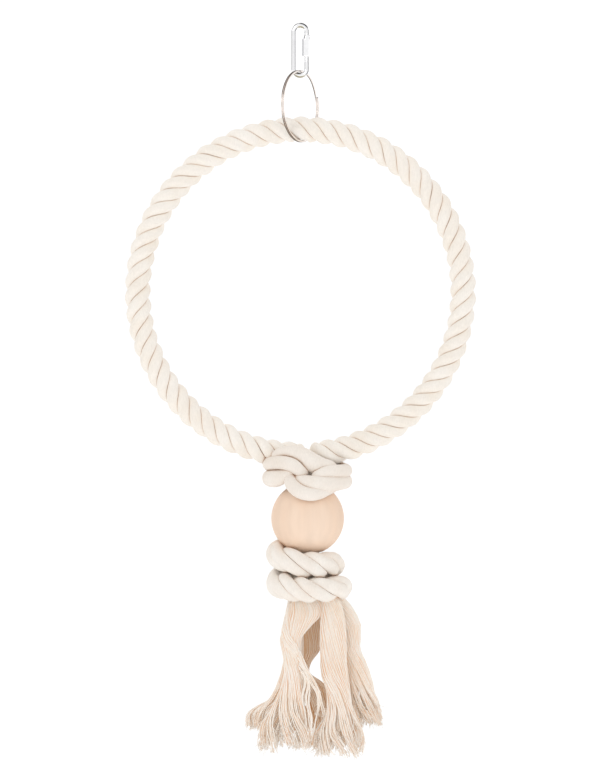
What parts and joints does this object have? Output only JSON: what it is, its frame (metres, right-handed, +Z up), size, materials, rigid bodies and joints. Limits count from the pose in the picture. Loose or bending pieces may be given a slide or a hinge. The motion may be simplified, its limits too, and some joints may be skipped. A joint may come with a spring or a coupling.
{
  "type": "bird rope ring",
  "caption": "Hanging perch for a cage bird: a knotted ring of twisted cotton rope with a wooden ball, a frayed tassel, a split ring and a quick link.",
  "frame": {"origin": "the inner top of the quick link, where it hangs on a hook", "axes": "+Z up, +X to the viewer's right, the front of the ring faces -Y"},
  "size_m": [0.2493, 0.0592, 0.5236],
  "materials": {
    "cotton": "matt undyed twisted cotton",
    "wood": "sanded bare beech",
    "chrome": "bright plated steel",
    "nickel": "nickel plated spring steel",
    "core_steel": "bare drawn wire"
  },
  "bodies": {
    "quick_link": {"quick_link": "chrome"},
    "nut": {"quick_link_nut": "chrome"},
    "split_ring": {"split_ring": "nickel"},
    "rope_ring": {"ring_strand_1": "cotton", "ring_strand_2": "cotton", "ring_strand_3": "cotton", "core_wire": "core_steel", "upper_knot_strand_1": "cotton", "upper_knot_strand_2": "cotton", "upper_knot_strand_3": "cotton", "upper_knot_strand_4": "cotton", "upper_knot_strand_5": "cotton", "upper_knot_strand_6": "cotton", "bundle_strand_1": "cotton", "bundle_strand_2": "cotton", "bundle_strand_3": "cotton", "bundle_strand_4": "cotton", "bundle_strand_5": "cotton", "bundle_strand_6": "cotton", "lower_knot_strand_1": "cotton", "lower_knot_strand_2": "cotton", "lower_knot_strand_3": "cotton"},
    "ball": {"wooden_ball": "wood"},
    "left_front_tail": {"tail_left_front": "cotton"},
    "left_side_tail": {"tail_left_side": "cotton"},
    "centre_front_tail": {"tail_centre_front": "cotton"},
    "right_side_tail": {"tail_right_side": "cotton"},
    "back_left_tail": {"tail_back_left": "cotton"},
    "back_right_tail": {"tail_back_right": "cotton"}
  },
  "joints": [
    {"name": "nut_travel", "type": "slide", "parent": "quick_link", "child": "nut", "axis": [0, 0, 1], "range_m": [-0.0069, 0]},
    {"name": "split_ring_swing", "type": "hinge", "parent": "quick_link", "child": "split_ring", "pos_m": [0, 0, -0.0294], "axis": [0, 1, 0], "range_deg": [-32, 32]},
    {"name": "rope_ring_swing", "type": "hinge", "parent": "split_ring", "child": "rope_ring", "pos_m": [0.0002, 0, -0.07244], "axis": [1, 0, 0], "range_deg": [-40, 40]},
    {"name": "ball_spin", "type": "hinge", "parent": "rope_ring", "child": "ball", "pos_m": [0.0053, 0, -0.34954], "axis": [0, 0, 1], "continuous": true},
    {"name": "left_front_tail_swing", "type": "hinge", "parent": "rope_ring", "child": "left_front_tail", "pos_m": [0.0037, -0.0076, -0.41374], "axis": [-0.9786, 0.2059, 0], "range_deg": [0, 25]},
    {"name": "left_side_tail_swing", "type": "hinge", "parent": "rope_ring", "child": "left_side_tail", "pos_m": [-0.0027, 0.0024, -0.41374], "axis": [0, 1, 0], "range_deg": [0, 25]},
    {"name": "centre_front_tail_swing", "type": "hinge", "parent": "rope_ring", "child": "centre_front_tail", "pos_m": [0.0211, -0.0078, -0.41374], "axis": [-0.8944, -0.4472, 0], "range_deg": [0, 25]},
    {"name": "right_side_tail_swing", "type": "hinge", "parent": "rope_ring", "child": "right_side_tail", "pos_m": [0.0283, 0.004, -0.41374], "axis": [0, -1, 0], "range_deg": [0, 25]},
    {"name": "back_left_tail_swing", "type": "hinge", "parent": "rope_ring", "child": "back_left_tail", "pos_m": [0.0067, 0.0094, -0.41374], "axis": [0.6112, 0.7915, 0], "range_deg": [0, 25]},
    {"name": "back_right_tail_swing", "type": "hinge", "parent": "rope_ring", "child": "back_right_tail", "pos_m": [0.0167, 0.007, -0.41374], "axis": [0.7641, -0.6451, 0], "range_deg": [0, 25]}
  ]
}
